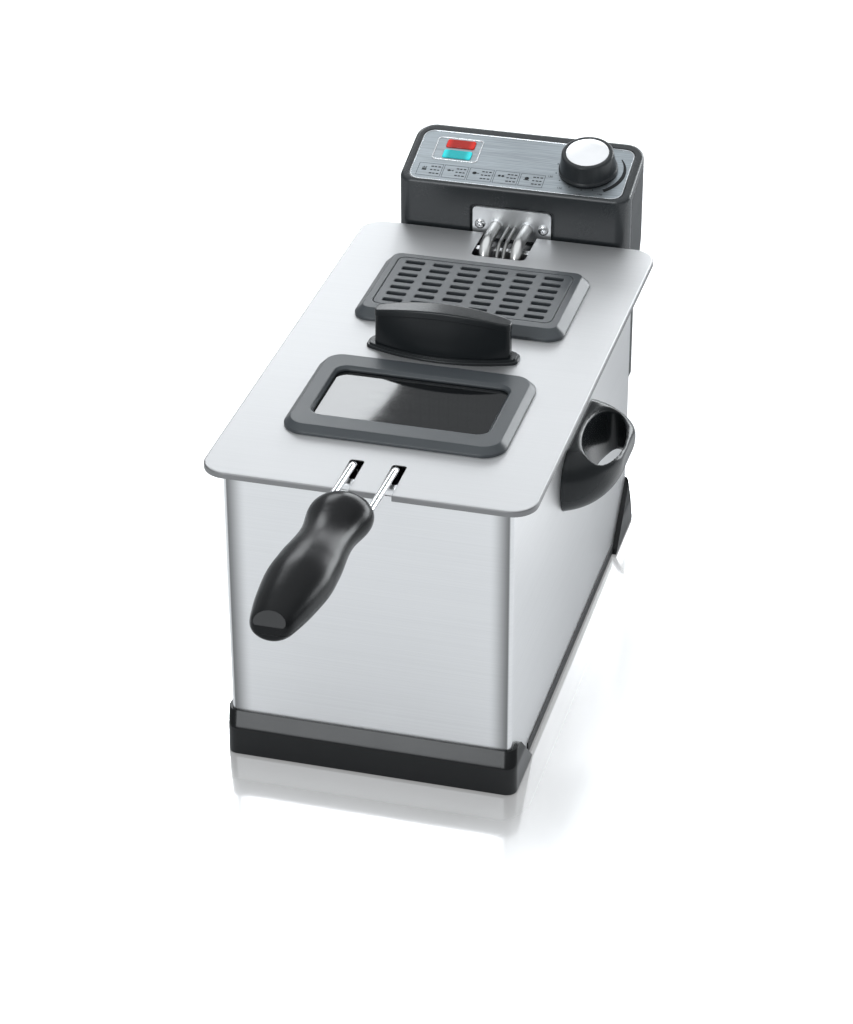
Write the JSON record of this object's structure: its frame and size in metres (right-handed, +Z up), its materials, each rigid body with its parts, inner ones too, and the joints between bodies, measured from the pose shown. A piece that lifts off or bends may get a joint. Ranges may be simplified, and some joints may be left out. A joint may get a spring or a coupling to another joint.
{
  "type": "electric deep fryer",
  "caption": "Countertop electric deep fryer with lift-out oil tank, wire basket with long grip, windowed lid with filter cover, and a control head carrying the heating element.",
  "frame": {"origin": "on the table under the middle of the whole object", "axes": "+Z up, +Y from the basket's grip to the control unit, +X to the right seen from the grip"},
  "size_m": [0.2456, 0.6134, 0.27],
  "materials": {
    "housing_steel": "fine brushed",
    "lid_steel": "satin",
    "tank_steel": "satin",
    "base_black": "satin",
    "plinth_plastic": "fine grain",
    "frame_plastic": "fine grain",
    "handle_plastic": "fine grain",
    "grip_plastic": "satin",
    "unit_plastic": "fine grain",
    "cover_plastic": "fine grain",
    "inner_plastic": "plain",
    "rail_plastic": "plain",
    "rubber_black": "matt",
    "seal_rubber": "matt",
    "screw_steel": "plated",
    "plate_steel": "polished",
    "heater_steel": "satin",
    "wire_chrome": "bright",
    "panel_aluminium": "brushed",
    "knob_black": "satin",
    "knob_silver": "satin",
    "spindle_brass": "turned",
    "lens_red": "clear",
    "lens_green": "clear",
    "window_glass": "clear",
    "lamp_glass": "clear",
    "filter_wire": "woven"
  },
  "bodies": {
    "housing": {"housing_shell": "housing_steel", "base_pan": "base_black", "front_plinth": "plinth_plastic", "rear_plinth": "plinth_plastic", "rubber_feet": "rubber_black", "base_screws": "screw_steel", "left_carry_handle": "handle_plastic", "right_carry_handle": "handle_plastic", "carry_handle_screws": "screw_steel", "guide_rails": "rail_plastic", "rail_screws": "screw_steel", "interlock_pin": "screw_steel"},
    "tank": {"oil_tank": "tank_steel"},
    "control_unit": {"control_front_shell": "unit_plastic", "control_rear_cover": "cover_plastic", "rear_cover_screws": "screw_steel", "control_panel": "panel_aluminium", "red_lens": "lens_red", "green_lens": "lens_green", "lamp_holder": "inner_plastic", "neon_lamps": "lamp_glass", "thermostat_body": "inner_plastic", "thermostat_nut": "spindle_brass", "element_plate": "plate_steel", "element_screws": "screw_steel", "heating_element": "heater_steel", "element_ferrules": "plate_steel", "sensor_tubes": "heater_steel", "sensor_guard": "plate_steel", "thermal_cutout": "inner_plastic", "cord_gland": "rubber_black", "interlock_switch": "rail_plastic", "terminal_block": "inner_plastic"},
    "knob": {"thermostat_knob": "knob_black", "knob_cap": "knob_silver", "thermostat_spindle": "spindle_brass"},
    "reset": {"reset_button": "lens_red"},
    "basket": {"basket_floor_net": "wire_chrome", "basket_side_nets": "wire_chrome", "basket_rim": "wire_chrome", "basket_base_ring": "wire_chrome", "drain_hooks": "wire_chrome", "handle_bracket": "plate_steel", "handle_wires": "wire_chrome", "grip_upper": "grip_plastic", "grip_lower": "grip_plastic", "grip_screws": "screw_steel"},
    "lid": {"lid_panel": "lid_steel", "window_frame": "frame_plastic", "window_glass": "window_glass", "window_seal": "seal_rubber", "window_clamp": "lid_steel", "filter_frame": "frame_plastic", "filter_grille": "frame_plastic", "filter_tray": "tank_steel", "filter_mat": "filter_wire", "lid_handle": "handle_plastic", "lid_handle_base": "handle_plastic", "lid_handle_screws": "screw_steel"}
  },
  "joints": [
    {"name": "tank_lift", "type": "slide", "parent": "housing", "child": "tank", "axis": [0, 0, 1], "range_m": [0, 0.18]},
    {"name": "control_unit_lift", "type": "slide", "parent": "tank", "child": "control_unit", "axis": [0, 0, 1], "range_m": [0, 0.18]},
    {"name": "basket_lift", "type": "slide", "parent": "control_unit", "child": "basket", "axis": [0, 0, 1], "range_m": [0, 0.15]},
    {"name": "lid_lift", "type": "slide", "parent": "basket", "child": "lid", "axis": [0, 0, 1], "range_m": [0, 0.12]},
    {"name": "thermostat_turn", "type": "hinge", "parent": "control_unit", "child": "knob", "pos_m": [0.047, 0.27319, 0.25102], "axis": [0, -0.2588, 0.9659], "range_deg": [-270, 0]},
    {"name": "reset_press", "type": "slide", "parent": "control_unit", "child": "reset", "axis": [0, -1, 0], "range_m": [0, 0.002], "stiffness_N_per_m": 600}
  ]
}
